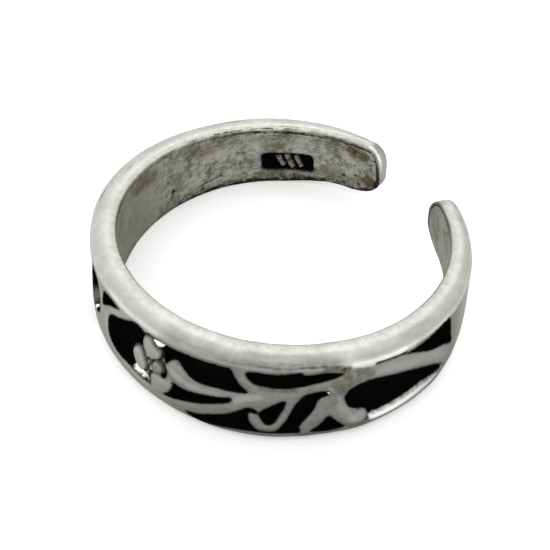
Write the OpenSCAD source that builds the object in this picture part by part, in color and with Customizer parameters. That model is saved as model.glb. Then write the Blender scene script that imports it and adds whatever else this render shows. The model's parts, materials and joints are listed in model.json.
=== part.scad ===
// Open, adjustable toe ring, cast in one piece.
// It lies on its lower edge: the bore axis is Z, the table is z = 0,
// the front of the band faces -Y and the gap between the ends faces +Y.
// A "turn" is an angle round the band in degrees, 0 at the front, positive
// towards +X. Heights are measured up from the table.

/* [Ring] */
// Diameter of the bore that the toe goes through
bore_d = 15; // [14:0.25:17]
// Height of the band at its tallest
tall_h = 5.5; // [5.3:0.1:5.8]
// Height of the upper edge at its lowest
short_h = 3.45; // [3.3:0.05:3.8]
// Turn at which the band is tallest
tall_turn = 37; // [20:1:50]
// Turn of each tip, measured from the front
tip_turn = 166.5; // [162:0.5:170]

/* [Wall] */
// Thickness of the wall at the front
front_wall = 1.27; // [1.1:0.01:1.6]
// Thickness of the wall at the two tips
end_wall = 0.98; // [0.9:0.01:1.2]
// Squareness of the rims: 2 is an ellipse, higher is squarer
rim_power = 4.6; // [3.5:0.1:6]
// Length of arc in which each end is rounded off
end_round = 0.8; // [0.5:0.05:1.2]
// Rise of the lower edge at the left tip
left_rise = 0.5; // [0.1:0.05:0.7]
// Rise of the lower edge at the right tip
right_rise = 0.9; // [0.1:0.05:1]

/* [Relief] */
// Depth of the blackened pockets
pocket_depth = 0.5; // [0.2:0.05:0.6]
// Depth of the fine grooves between the petals
groove_depth = 0.22; // [0.1:0.02:0.4]
// How far the beads of the flower and the tendrils stand out
bead_rise = 0.08; // [0.02:0.02:0.16]

/* [Cartouche] */
// Turn of the middle of the sunk cartouche inside the band
mark_turn = -130.3; // [-140:0.1:-120]
// Length of the cartouche along the wall
mark_w = 2.53; // [1.5:0.01:3]
// Height of the cartouche
mark_h = 1.08; // [0.8:0.01:1.4]
// Height of its lower edge above the table
mark_z = 0.9; // [0.6:0.01:1.2]
// Depth of the cartouche
mark_depth = 0.15; // [0.08:0.01:0.25]

/* [Hidden] */
$fn = 120;
bore_r = bore_d / 2;
mean_wall = (front_wall + end_wall) / 2;
outer_r = bore_r + mean_wall;
// the outer face is turned about an axis a little in front of the bore's
outer_shift = (front_wall - end_wall) / 2;
// the upper edge lies in one slanted plane
middle_h = (tall_h + short_h) / 2;
slant = atan((tall_h - short_h) / 2 / bore_r);
// distance from the axis at which an outline's turns are measured
chart_r = outer_r + outer_shift / 2;
// left end: where its lower edge starts to lift, as a distance behind the axis
left_lift_y = 5.4;
// the same at the right end
right_lift_y = 3.2;
// length by which a cutting tool runs past what it cuts
past = 1;

// Each pocket is a table with two columns, turn and height, a row for each
// point round its mouth. A smooth curve goes through the points.

// Pocket that runs round to the left side
LEFT_FAR = [
    [-18.5, 4.2], [-17.2, 3.7], [-16.6, 3], [-17.2, 2.35], [-19.5, 1.98],
    [-24, 1.85], [-29, 1.85], [-34, 2.1], [-38, 2.45], [-41, 2.85],
    [-39.5, 3.25], [-38, 3.6], [-36.3, 3.95], [-30, 4.15], [-24, 4.25]
];
// Small three-cornered pocket under the upper rim
LEFT_SAIL = [
    [-12.8, 3.5], [-12.6, 4.1], [-11.3, 4.42], [-8.5, 4.53], [-4.5, 4.5],
    [-6.5, 4.25], [-9.8, 3.9]
];
// Large pocket to the left of the flower
LEFT_WING = [
    [-9.4, 2.1], [-9.5, 2.7], [-9, 3.15], [-7, 3.6], [-3, 4],
    [1, 4.4], [3.5, 4.7], [6.5, 4.75], [8.6, 4.55], [8, 4.1],
    [7.8, 3.7], [6.5, 3.55], [4.5, 3.3], [3.8, 2.8], [4.2, 2.35],
    [5.5, 2.05], [9.4, 1.95], [9.7, 1.55], [5, 1.55], [0, 1.55],
    [-4, 1.6], [-7.5, 1.75]
];
// Between the flower, the upper rim and the upper stem
UPPER_MIDDLE = [
    [15.6, 4], [15.3, 4.3], [12.6, 4.62], [14, 4.72], [17, 4.74],
    [25, 4.8], [35, 4.85], [36.8, 4.75], [38, 4.3], [39.5, 3.85],
    [41.6, 3.45], [38, 3.32], [32, 3.28], [27, 3.25], [24.6, 3.4],
    [22.8, 3.7], [21.3, 4.05], [20.3, 4.15], [18.2, 3.9], [16.3, 3.5]
];
// Between the upper and the lower stem
LOWER_SLIVER = [
    [18.8, 2.45], [21.5, 2.4], [25, 2.42], [30, 2.6], [34, 2.75],
    [36.5, 2.85], [37, 2.7], [35.5, 2.45], [32, 2.2], [28, 1.9],
    [23, 1.62], [18, 1.35], [15.3, 1.3], [17, 1.6], [18.1, 1.95],
    [18.5, 2.2]
];
// Below the lower stem
FOOT = [
    [24.5, 0.8], [27, 0.66], [34, 0.68], [42, 0.8], [45.3, 0.9],
    [43.6, 1.15], [42.3, 1.5], [41.9, 1.9], [42.4, 2.15], [43.3, 2.2],
    [42.8, 2.38], [41.5, 2.42], [39, 2.1], [36, 1.75], [31, 1.38],
    [27, 1.1]
];
// Inside the hooked tendril
HOOK_EYE = [
    [44.9, 2.15], [46.5, 2.45], [49, 2.8], [51.5, 3.05], [52.4, 3],
    [52, 2.6], [50.8, 2.1], [49.7, 1.65], [48, 1.4], [46.5, 1.5],
    [45.4, 1.85]
];
// Long pocket under the upper rim
UPPER_BAR = [
    [41, 4.75], [43, 4.85], [50, 4.83], [56, 4.95], [57.5, 4.78],
    [63, 4.8], [66.5, 4.68], [68.3, 4.5], [64.5, 4.3], [60, 4.18],
    [56.5, 4.05], [52, 3.92], [47, 3.98], [43.5, 4.08], [41.6, 4.4]
];
// Between the hooked tendril and its neighbour
BETWEEN = [
    [56.2, 3.1], [57.3, 3.4], [59.5, 3.57], [62.5, 3.62], [64.5, 3.5],
    [64.2, 3.3], [62.3, 3.2], [61.2, 2.95], [60.6, 2.55], [59.3, 2.1],
    [57.6, 1.65], [56.6, 1.3], [56.6, 0.85], [52.5, 0.85], [49.3, 0.95],
    [51, 1.25], [52.8, 1.75], [54.2, 2.4], [55.3, 2.9]
];
// Small peak on the lower rim
SMALL_PEAK = [
    [60.2, 0.92], [62, 1.25], [63.5, 1.6], [64.9, 1.97], [66.2, 1.75],
    [67.6, 1.4], [69, 1.1], [69.4, 0.88], [65, 0.85]
];
// Large pocket below the long stem
BIG_EYE = [
    [69.3, 2.85], [69.9, 3.2], [71.5, 3.45], [75, 3.62], [79, 3.6],
    [84, 3.38], [90, 3.05], [95, 2.65], [100, 2.2], [103.5, 1.8],
    [105.8, 1.4], [107, 1.12], [103, 1.02], [95, 1], [85, 1],
    [78.5, 1], [76.8, 1.02], [76.6, 1.4], [76.2, 1.75], [75, 1.93],
    [73, 2], [70.6, 2.3]
];
// Above the long stem, at the right end
LAST = [
    [87.5, 4.43], [90, 4.35], [95, 4.33], [105, 4.35], [107.5, 4.2],
    [108.3, 3.9], [108.8, 3.4], [109.4, 2.9], [110.2, 2.4], [108, 2.55],
    [104.5, 2.95], [101, 3.2], [97, 3.55], [92.5, 4]
];

// Fine shallow grooves round the petals, with the same two columns
PETAL_SPLIT = [
    [8.7, 3.4], [10.4, 3.2], [12.5, 3.18], [14.4, 3.28],
    [14.4, 3.4], [12.5, 3.3], [10.6, 3.32], [8.9, 3.52]
];
HEART_SPLIT = [[9.9, 2.15], [10.6, 2.15], [10.7, 3], [10, 3]];
BEAD_NOTCH = [
    [12.9, 2.42], [14.6, 2.38], [15.8, 2.6], [16, 2.92],
    [15.3, 2.94], [14.8, 2.68], [13.9, 2.56], [12.9, 2.54]
];

// Beads of the flower and of the curled tendril: turn, height, radius
BEADS = [[13.4, 2.95, 0.34], [74.2, 1.45, 0.4], [-74.2, 1.3, 0.36]];

// Pockets seen in full
FRONT_POCKETS = [
    LEFT_FAR, LEFT_SAIL, LEFT_WING, UPPER_MIDDLE, LOWER_SLIVER, FOOT,
    HOOK_EYE, UPPER_BAR, BETWEEN, SMALL_PEAK, BIG_EYE, LAST
];
// Repeated on the left side, turned over and fitted to the lower band there
MIRRORED_POCKETS = [
    FOOT, HOOK_EYE, UPPER_BAR, BETWEEN, SMALL_PEAK, BIG_EYE, LAST
];
GROOVES = [PETAL_SPLIT, HEART_SPLIT, BEAD_NOTCH];

// Height of the upper edge at a turn
function upper(turn) =
    middle_h + (tall_h - short_h) / 2 * cos(turn - tall_turn);

// Quarter of the rounded section: in from the outer face, up from the middle
function rim_in(u) = mean_wall * (1 - pow(cos(u), 2 / rim_power));
function rim_up(u) = tall_h / 2 * pow(sin(u), 2 / rim_power);

// Band before it is cut: outer face with its rounded lower rim
module turned_band() {
    lower_rim = [for (u = [84 : -12 : 12])
        [outer_r - rim_in(u), tall_h / 2 - rim_up(u)]];
    translate([0, -outer_shift, 0]) rotate_extrude()
        polygon(concat(
            [[0, 0]],
            lower_rim,
            [[outer_r, tall_h / 2], [outer_r, tall_h + past], [0, tall_h + past]]
        ));
}

// Slanted lid with an eased edge; what reaches above it is cut away
module lid() {
    eased = [[-0.3, -1.85], [0.08, -0.45], [0.26, -0.16], [0.55, -0.03], [0.9, 0]];
    rim_r = outer_r + outer_shift / 2;
    wide_r = outer_r + 2;
    rotate([0, 0, tall_turn]) translate([0, 0, middle_h]) rotate([-slant, 0, 0])
        rotate_extrude()
            polygon(concat(
                [[0, -2 * tall_h], [wide_r, -2 * tall_h], [wide_r, -3]],
                [for (p = eased) [rim_r - p[0], p[1]]],
                [[0, 0]]
            ));
}

// Cuts beyond one tip and rounds it like a tongue, between two edges
module tip_cut(turn, low, high) {
    side = sign(turn);
    half = (high - low) / 2;
    neck = end_round + 0.4;
    beyond = 2.2;
    tongue = [for (u = [-78 : 12 : 78])
        [-end_round * (1 - cos(u)), low + half + half * sin(u)]];
    shape = concat(
        [[beyond, low - 3], [-neck, low - 0.5]],
        tongue,
        [[-neck, high + 0.5], [beyond, high + 3]]
    );
    rotate([0, 0, turn]) translate([0, -bore_r + 2, 0]) rotate([90, 0, 0])
        linear_extrude(6) polygon([for (p = shape) [p[0] * side, p[1]]]);
}

// Lifts the lower edge towards one tip, from a given distance behind the axis
module edge_lift(side, from_y, rise) {
    tip_y = -bore_r * cos(tip_turn);
    far_x = side > 0 ? 0.1 : -13.1;
    translate([far_x, from_y, 0]) rotate([atan(rise / (tip_y - from_y)), 0, 0])
        translate([0, 0, -5]) cube([13, 14, 5]);
}

// Closed smooth curve through the rows of an outline
function curve_point(a, b, c, d, u) =
    0.5 * (2 * b + (c - a) * u + (2 * a - 5 * b + 4 * c - d) * u * u
           + (3 * b - 3 * c + d - a) * u * u * u);
function smooth_loop(rows, steps) =
    let (n = len(rows))
    [for (i = [0 : n - 1], k = [0 : steps - 1])
        curve_point(rows[(i + n - 1) % n], rows[i], rows[(i + 1) % n],
                    rows[(i + 2) % n], k / steps)];

// Prism that stands on the outer face over an outline
module prism(rows, steps = 2) {
    turns = [for (row = rows) row[0]];
    middle = (min(turns) + max(turns)) / 2;
    rotate([0, 0, middle]) translate([0, -bore_r + past, 0]) rotate([90, 0, 0])
        linear_extrude(4)
            polygon([for (p = smooth_loop(rows, steps))
                [chart_r * sin(p[0] - middle), p[1]]]);
}

// Metal that stays behind whatever is sunk to a depth
module floor_core(depth) {
    translate([0, -outer_shift, -past])
        cylinder(r = outer_r - depth, h = tall_h + 2 * past);
}

// An outline turned over to the left side and fitted to the height there
function mirrored(rows) =
    [for (row = rows) [-row[0], row[1] * upper(-row[0]) / upper(row[0])]];

module pockets() {
    difference() {
        union() {
            for (rows = FRONT_POCKETS) prism(rows);
            for (rows = MIRRORED_POCKETS) prism(mirrored(rows));
        }
        floor_core(pocket_depth);
    }
}

module grooves() {
    difference() {
        for (rows = GROOVES) prism(rows, 1);
        floor_core(groove_depth);
    }
}

module beads() {
    for (row = BEADS)
        rotate([0, 0, row[0]])
            translate([0, -(chart_r + bead_rise - row[2]), row[1]])
                sphere(r = row[2]);
}

// Arc-shaped block on the inner wall
module wall_block(turn, width, z, height, r1, r2) {
    sweep = width / bore_r * 180 / PI;
    translate([0, 0, z])
        rotate_extrude(angle = sweep, start = turn + 270 - sweep / 2)
            translate([r1, 0]) square([r2 - r1, height]);
}

// Sunk cartouche with three plain worn marks left standing in it
module cartouche() {
    worn_w = 0.26;
    worn_step = 3.1;
    worn_turn = mark_turn - 1.4;
    edge = 0.2;
    difference() {
        wall_block(mark_turn, mark_w, mark_z, mark_h, bore_r - 0.3, bore_r + mark_depth);
        for (i = [-1 : 1])
            wall_block(worn_turn + i * worn_step, worn_w, mark_z + edge,
                       mark_h - 2 * edge, bore_r + 0.04, bore_r + mark_depth + edge);
    }
}

module band() {
    color("silver") {
        difference() {
            intersection() {
                turned_band();
                lid();
            }
            translate([0, 0, -past]) cylinder(r = bore_r, h = tall_h + 2 * past);
            tip_cut(-tip_turn, left_rise, short_h);
            tip_cut(tip_turn, right_rise, upper(tip_turn));
            edge_lift(-1, left_lift_y, left_rise);
            edge_lift(1, right_lift_y, right_rise);
            pockets();
            grooves();
            cartouche();
        }
        beads();
    }
}

band();
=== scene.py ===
import json
import math

import bmesh
import bpy
import numpy as np
from mathutils import Matrix, Vector, noise


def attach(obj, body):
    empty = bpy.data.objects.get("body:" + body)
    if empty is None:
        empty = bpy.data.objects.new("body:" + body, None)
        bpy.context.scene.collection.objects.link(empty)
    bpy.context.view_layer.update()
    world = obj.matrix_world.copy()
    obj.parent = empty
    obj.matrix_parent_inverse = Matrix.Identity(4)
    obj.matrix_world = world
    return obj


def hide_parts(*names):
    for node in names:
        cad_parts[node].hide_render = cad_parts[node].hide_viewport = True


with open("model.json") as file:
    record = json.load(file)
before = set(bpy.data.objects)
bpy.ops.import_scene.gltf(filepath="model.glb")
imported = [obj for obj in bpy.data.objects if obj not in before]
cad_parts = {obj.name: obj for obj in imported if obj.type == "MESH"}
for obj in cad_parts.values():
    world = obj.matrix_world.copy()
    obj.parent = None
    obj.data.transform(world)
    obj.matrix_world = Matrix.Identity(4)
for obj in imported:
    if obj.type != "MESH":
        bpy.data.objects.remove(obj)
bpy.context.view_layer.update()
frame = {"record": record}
mm = 0.001  # sizes below are in millimetres unless they say otherwise
boreRadius = frame["record"]["mounts"][0]["dims"]["r_mm"]


def asRows(columns, rows):
    # a table's rows as dictionaries
    return [dict(zip(columns.split(), row)) for row in rows]


# A turn is an angle round the band in degrees, 0 at the front (-Y), positive towards +X.
# Heights are measured up from the lower edge.
band = {
    "middleHeight": 4.475,  # upper edge, halfway between its highest and lowest
    "slant": 1.025,         # how far the upper edge rises and falls about that
    "tallTurn": 37.0,       # where the band is tallest
    "rightRise": 0.16,      # how far the upper edge comes up again at the right tip
    "leftTip": -166.7,
    "rightTip": 167.1,
    "leftLift": 0.4,        # rise of the lower edge at each end
    "rightLift": 0.98,
    "rimDrop": 0.5,         # height over which the upper rim rounds over to the outer face
    "rimShare": 0.88,       # share of the wall that it takes
    "rimPower": 2.3,        # squareness of that rounding
    "domeDrop": 2.75,       # the lower half of the outer face is domed
    "domeShare": 0.93,
    "domePower": 4.6,
    "innerBevel": 0.13,
    "endInner": 0.1,        # radius round each end's edge, inside and outside
    "endOuter": 0.34,
    "noseLength": 3.5,      # length over which an end turns towards its nose
    "swell": 0.022,         # the casting's unevenness: broad, finer, of the rim, of the inner wall
    "ripple": 0.01,
    "rimWave": 0.03,
    "innerHollow": 0.014,
    "pocketDepth": 0.5,
    "wallRun": 0.15,        # width over which a pocket's wall falls
    "wallLeft": 0.3,        # least wall left under a pocket
    "edgeFall": 0.08,       # how far the metal's edge is rounded down beside a pocket
    "edgeRun": 0.13,
    "grooveDepth": 0.12,
    "grooveWidth": 0.07,
    "creaseFall": 0.36,     # crease under the rim: how far below the upper edge, width, depth
    "creaseWidth": 0.12,
    "creaseDepth": 0.035,
    "reliefEnd": 113,       # turn, to each side, where the relief stops
    "reliefTop": 0.35,      # and how near it comes to the upper and the lower edge
    "reliefLow": 0.12,
    "patternRadius": 8.0,   # radius at which the unevenness and the flecks are laid out
    "snap": 0.027,          # points this near to a pocket's edge are moved onto it
    "sectionPoints": 140,
    "endColumns": 26,       # columns that crowd together towards each tip, and over what length
    "endReach": 1.8,
}
chartRadius = 8.698  # of the plain cylinder on which the outlines were drawn
chartReach = 0.6     # distances from a pocket are measured up to this

# Tongue-shaped ends: height of the nose, and the length over which the lower and the upper
# edge close in on it
endShapes = asRows("tip nose low high", [
    ("leftTip", 1.78, 1.65, 0.8),
    ("rightTip", 2.3, 1.45, 1.3),
])

# Wall thickness by turn
wallTable = {
    "turn": [-166, -160, -155, -150, -145, -138, -130, -115, -102, -90, -80, -70, -60, -50, -36,
             -22, 0, 20, 35, 50, 60, 72, 80, 110, 118, 130, 137, 145, 155, 166],
    "wall": [0.74, 0.78, 0.85, 0.92, 0.97, 1.03, 1.07, 1.12, 1.09, 1.13, 1.17, 1.2, 1.23, 1.21, 1.19,
             1.25, 1.2, 1.17, 1.22, 1.18, 1.15, 1.19, 1.22, 1.2, 1.11, 1.05, 0.97, 0.9, 0.86, 0.8],
}

# How finely the band is divided: a run of columns up to each turn, and the step in it
columnRuns = asRows("upTo step", [
    (-142.5, 0.17), (-118.5, 0.062), (-110.5, 0.15), (-42.0, 0.088), (112.0, 0.056), (151.5, 0.17),
])

# Mouth of each pocket: turn, height
pocketOutlines = {
    "leftFar": [
        (-18.5, 4.2), (-17.2, 3.7), (-16.6, 3.0), (-17.2, 2.35), (-19.3, 1.9), (-22, 1.68),
        (-25, 1.62), (-29, 1.75), (-34, 2.1), (-38, 2.45), (-41, 2.85), (-39.5, 3.25), (-38, 3.6),
        (-36.3, 3.95), (-30, 4.15), (-24, 4.25)],
    "leftSail": [
        (-13.9, 3.28), (-13.7, 3.9), (-12.2, 4.36), (-8.5, 4.54), (-3.4, 4.56), (-6.0, 4.26),
        (-9.6, 3.88)],
    "leftWing": [
        (-10.2, 2.1), (-10.3, 2.65), (-9.5, 3.15), (-7.2, 3.6), (-3, 4.0), (1, 4.4), (3.5, 4.7),
        (6.5, 4.75), (8.6, 4.55), (8.0, 4.1), (7.8, 3.7), (6.5, 3.6), (4.7, 3.4), (3.5, 3.05),
        (3.7, 2.65), (4.8, 2.25), (6.8, 1.98), (9.2, 1.98), (9.8, 1.5), (8.0, 1.4), (4.6, 1.44),
        (1.2, 1.46), (-4, 1.46), (-8.2, 1.62)],
    "upperMiddle": [
        (15.7, 3.95), (15.4, 4.2), (14.4, 4.28), (12.9, 4.34), (12.0, 4.5), (12.2, 4.64), (14, 4.72),
        (17, 4.74), (25, 4.8), (35, 4.85), (36.8, 4.75), (38, 4.3), (39.5, 3.85), (41.6, 3.45),
        (38, 3.32), (32, 3.28), (27, 3.25), (24.6, 3.4), (22.8, 3.7), (21.3, 4.05), (20.3, 4.15),
        (18.2, 3.9), (16.3, 3.5)],
    "lowerSliver": [
        (18.8, 2.45), (21.5, 2.4), (25, 2.42), (30, 2.6), (34, 2.75), (36.5, 2.85), (37, 2.7),
        (35.5, 2.45), (32, 2.2), (28, 1.9), (23, 1.62), (18, 1.35), (15.3, 1.3), (17, 1.6),
        (18.1, 1.95), (18.5, 2.2)],
    "foot": [
        (23.0, 0.92), (25.5, 0.74), (29, 0.68), (33, 0.72), (38, 0.8), (42, 0.84), (45.5, 0.88),
        (43.9, 1.1), (42.4, 1.5), (41.9, 1.9), (42.4, 2.12), (43.6, 2.1), (44.9, 2.1), (44.2, 2.3),
        (43.0, 2.42), (41.5, 2.42), (39, 2.1), (36, 1.75), (31, 1.38), (27, 1.1)],
    "underHook": [
        (43.5, 0.84), (47, 0.84), (51, 0.85), (53, 0.9), (51.5, 1.0), (49.5, 0.94), (47.3, 0.92),
        (45.2, 0.96), (43.6, 1.08)],
    "hookEye": [
        (44.9, 2.15), (46.5, 2.45), (49, 2.8), (51.5, 3.05), (52.4, 3.0), (52, 2.6), (50.8, 2.1),
        (49.7, 1.65), (48, 1.4), (46.5, 1.5), (45.4, 1.85)],
    "upperBar": [
        (41, 4.75), (43, 4.85), (50, 4.83), (56, 4.95), (57.5, 4.78), (63, 4.8), (66.5, 4.68),
        (68.3, 4.5), (64.5, 4.3), (60, 4.18), (56.5, 4.05), (52, 3.92), (47, 3.98), (43.5, 4.08),
        (41.6, 4.4)],
    "between": [
        (56.2, 3.1), (57.3, 3.4), (59.5, 3.57), (62.5, 3.62), (64.5, 3.5), (64.2, 3.3), (62.3, 3.2),
        (61.2, 2.95), (60.6, 2.55), (59.3, 2.1), (57.6, 1.65), (56.6, 1.3), (56.7, 0.9), (53.5, 0.86),
        (49.5, 0.86), (51, 1.2), (52.8, 1.75), (54.2, 2.4), (55.3, 2.9)],
    "smallPeak": [
        (60.0, 0.9), (62, 1.25), (63.5, 1.55), (64.9, 1.85), (66.2, 1.65), (67.6, 1.35), (69, 1.1),
        (69.8, 0.88), (65, 0.82)],
    "bigEye": [
        (69.3, 2.85), (69.9, 3.2), (71.5, 3.45), (75, 3.62), (79, 3.6), (84, 3.38), (90, 3.05),
        (95, 2.65), (100, 2.2), (103.5, 1.8), (105.8, 1.45), (106.6, 1.22), (104, 1.06), (96, 0.82),
        (86, 0.72), (79, 0.72), (77.2, 0.85), (76.8, 1.2), (76.6, 1.55), (75.6, 1.84), (74.6, 1.93),
        (73, 2.0), (70.6, 2.3)],
    "last": [
        (87.2, 4.42), (90, 4.32), (95, 4.36), (100, 4.42), (104, 4.52), (106.4, 4.46), (107.7, 4.2),
        (108.3, 3.8), (109.2, 3.1), (110.2, 2.4), (108, 2.58), (104.5, 2.97), (101, 3.2), (97, 3.55),
        (92.5, 4.0)],
    "beadNotch": [
        (14.2, 2.46), (15.2, 2.4), (16.3, 2.55), (16.7, 3.0), (16.3, 3.12), (15.8, 2.8), (14.9, 2.6)],
}
mirroredPockets = ["foot", "underHook", "hookEye", "upperBar", "between", "smallPeak",
                   "bigEye", "last"]

# Engraved lines: turn, height
grooveLines = {
    "wedgeLine": [(9.9, 2.3), (10.1, 1.9), (10.1, 1.4)],
    "lowTop": [(10.2, 1.5), (10.2, 2.12), (11.3, 2.38), (13.6, 2.48), (14.6, 2.46)],
    "wedgeUnder": [(1.8, 1.36), (5.5, 1.34), (9.6, 1.32)],
    "stemLine": [(78.5, 4.64), (80, 4.6), (84, 4.52), (88.0, 4.42)],
}

# Domed petals and beads: outline as turn, height; how far it rises, over what width, and how
# deep the seam round it is
petals = {
    "left": {"rise": 0.14, "soft": 0.3, "seam": 1, "outline": [
        (3.6, 3.05), (5.0, 3.42), (7.2, 3.55), (8.7, 3.07), (9.6, 2.6), (9.0, 2.2), (7.2, 2.03),
        (4.9, 2.3), (3.8, 2.7)]},
    "top": {"rise": 0.13, "soft": 0.34, "seam": 1, "outline": [
        (7.7, 4.2), (8.6, 4.5), (10.0, 4.68), (11.4, 4.66), (12.3, 4.4), (13.5, 4.26), (14.9, 4.15),
        (15.2, 3.9), (14.7, 3.6), (13.1, 3.38), (10.4, 3.3), (8.7, 3.58), (7.9, 3.84)]},
    "bead": {"rise": 0.1, "soft": 0.13, "seam": 0.8, "outline": [
        (9.6, 2.98), (10.3, 3.14), (10.95, 2.98), (10.6, 2.76), (9.8, 2.76)]},
    "heart": {"rise": 0.15, "soft": 0.36, "seam": 1, "outline": [
        (11.3, 2.82), (11.7, 3.18), (13.2, 3.4), (15.1, 3.4), (16.0, 3.05), (15.2, 2.68), (13.4, 2.5),
        (11.7, 2.56)]},
    "low": {"rise": 0.06, "soft": 0.3, "seam": 0, "outline": [
        (10.3, 1.35), (10.3, 2.1), (11.6, 2.34), (14, 2.42), (16.6, 2.3), (17.9, 2.04), (17.1, 1.7),
        (14.8, 1.25), (12.5, 1.15)]},
    "leaf": {"rise": 0.06, "soft": 0.35, "seam": 0, "outline": [
        (16.4, 3.4), (17.3, 3.68), (18.7, 3.92), (20.3, 4.08), (21.3, 3.98), (22.7, 3.62),
        (24.6, 3.3), (23.0, 2.9), (21.0, 2.6), (18.9, 2.68), (16.9, 3.02)]},
    "curl": {"rise": 0.1, "soft": 0.4, "seam": 0, "outline": [
        (70.6, 1.35), (71.4, 1.8), (73.4, 1.96), (75.8, 1.78), (76.7, 1.4), (75.6, 1.02), (73.0, 0.9),
        (71.4, 1.0)]},
}

# Where the lower lip of a pocket is round like a wire, with a painted highlight along it; its width
# narrows to the given share between two turns
roundLips = [
    {"turn": 92.0, "height": 1.0, "halfWide": 2.3, "halfTall": 0.66, "tilt": 5, "run": 0.34,
     "narrow": 0.25, "from": 96, "to": 107},
]

# Walls of the pockets where the blackening is worn away, with a painted glint on them: how far in
# the wall runs, how brightly the painted glint shines, and from where on the oval's rim inwards it
# does so fully
brightWalls = asRows("turn height halfWide halfTall tilt run shine clear", [
    (6.0, 1.58, 0.6, 0.15, -1, 0.2, 1, 0.92),
    (13.7, 4.5, 0.3, 0.2, -8, 0.3, 1, 0.92),
    (-22.6, 1.7, 0.12, 0.08, 0, 0.2, 1, 0.92),
    (-26.6, 1.8, 0.6, 0.3, -8, 0.4, 0.34, 0.15),
    (64.2, 3.45, 0.1, 0.07, 0, 0.4, 1, 0.92),
])

# Sunk cartouche inside the band, with plain worn strokes left standing in it
cartouche = {
    "turn": -130.3,
    "width": 2.5,
    "low": 0.84,
    "height": 1.1,
    "corner": 0.24,
    "depth": 0.14,
    "strokes": asRows("along tilt halfWide halfTall", [
        (0.32, -24, 0.1, 0.34), (-0.1, -21, 0.11, 0.45), (-0.52, -23, 0.09, 0.39),
    ]),
}

# Where the outer face is painted lighter as a highlight (positive) or darker, partly tarnish and
# partly
# painted shade (negative): a run of turn and height, with the width either side of it
tones = asRows("amount width path", [
    (0.2, 0.36, [(69.5, 5.16), (73, 5.0), (76, 4.88), (82, 4.82), (90, 4.78)]),
    (0.34, 0.28, [(71.8, 5.06), (74, 4.94), (77, 4.86), (82, 4.82), (87, 4.78)]),
    (0.14, 0.22, [(86, 4.76), (96, 4.74), (106, 4.76)]),
    (0.22, 0.3, [(-6, 5.06), (-2, 5.08), (6, 5.1), (12.5, 5.14)]),
    (0.12, 0.38, [(73.0, 1.5), (75.0, 1.45)]),
    (0.08, 0.26, [(65.5, 3.7), (67.6, 2.8), (69.8, 1.9), (72, 1.4)]),
    (0.08, 0.36, [(77, 4.1), (85, 3.85), (93, 3.4), (101, 2.75), (106.5, 2.1)]),
    (0.12, 0.25, [(19, 3.3), (24, 2.8), (38, 2.8), (45, 3.3)]),
    (0.08, 0.2, [(-11.5, 2.2), (-11, 3.0), (-6.5, 3.8), (-1.5, 4.3)]),
    (-0.8, 0.2, [(63.5, 5.0), (67, 5.05), (69.5, 4.9)]),
    (-0.5, 0.28, [(68.3, 4.75), (70, 4.3), (69.8, 3.8)]),
    (-0.35, 0.2, [(72.4, 4.6), (73.4, 4.2), (72.6, 3.8)]),
    (-0.4, 0.3, [(74.5, 4.4), (76.0, 4.1)]),
    (-0.45, 0.25, [(66.5, 4.0), (68.6, 3.4)]),
    (-0.3, 0.16, [(65.3, 3.3), (66.2, 2.8)]),
    (-0.5, 0.2, [(45.5, 3.95), (50, 3.84), (54.5, 3.86)]),
    (-0.4, 0.15, [(42.6, 2.3), (44, 2.2)]),
    (-0.35, 0.2, [(45.5, 0.95), (49, 0.9)]),
    (-0.5, 0.16, [(57, 0.75), (60.5, 0.8)]),
    (-0.6, 0.13, [(14.4, 3.42), (16.0, 3.26), (16.2, 3.0)]),
    (-0.42, 0.34, [(12.6, 2.86), (15.2, 3.0)]),
    (-0.45, 0.16, [(19.8, 4.15), (20.8, 4.0)]),
    (-0.35, 0.16, [(34, 2.6), (36.5, 2.6)]),
    (-0.9, 0.1, [(9.7, 2.72), (10.0, 2.3), (10.1, 1.9)]),
    (-0.4, 0.13, [(78.5, 4.62), (82, 4.6), (85, 4.5), (88, 4.42)]),
    (-0.5, 0.16, [(71.0, 0.95), (74, 0.86), (76.8, 0.95)]),
])

# Brown stains on the inner wall
stains = asRows("turn height halfWide halfTall tilt strength", [
    (-67.0, 3.5, 1.1, 0.5, 12, 0.6),
    (-98.0, 2.95, 1.3, 0.35, 5, 0.45),
    (-121.0, 2.95, 0.8, 0.3, 0, 0.4),
    (-144.5, 3.1, 0.7, 0.3, 0, 0.5),
    (-156.0, 2.97, 0.74, 0.36, 10, 1.0),
    (-163.0, 1.45, 0.5, 0.34, -20, 0.75),
    (-148.0, 1.0, 1.2, 0.4, 0, 0.45),
    (161.0, 2.7, 0.8, 1.0, 0, 0.3),
])


def ease(low, high, x):
    t = np.clip((x - low) / (high - low), 0, 1)
    return t * t * (3 - 2 * t)


def upperEdge(turn):
    rise = np.cos(np.radians(turn - band["tallTurn"]))
    edge = band["middleHeight"] + band["slant"] * rise
    return edge + band["rightRise"] * ease(125, 166, turn)


def lowerEdge(turn):
    left = band["leftLift"] * ease(-126, -152, turn)
    return left + band["rightLift"] * ease(104, 148, turn)


def wallAt(turn):
    # eased over a few degrees, so that no kink shows
    walls = [np.interp(turn + shift, wallTable["turn"], wallTable["wall"])
             for shift in (-6, -4, -2, 0, 2, 4, 6)]
    return np.mean(walls, axis=0)


def smoothLoop(rows, steps=4):
    # closed curve through every row
    rows = np.array(rows, float)
    a, b = np.roll(rows, 1, 0), rows
    c, d = np.roll(rows, -1, 0), np.roll(rows, -2, 0)
    loops = []
    for k in range(steps):
        u = k / steps
        loops.append(0.5 * (2 * b + (c - a) * u + (2 * a - 5 * b + 4 * c - d) * u * u
                            + (3 * b - 3 * c + d - a) * u ** 3))
    return np.stack(loops, 1).reshape(-1, 2)


def toChart(rows):
    rows = np.array(rows, float)
    return np.column_stack((np.radians(rows[:, 0]) * chartRadius, rows[:, 1]))


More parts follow.
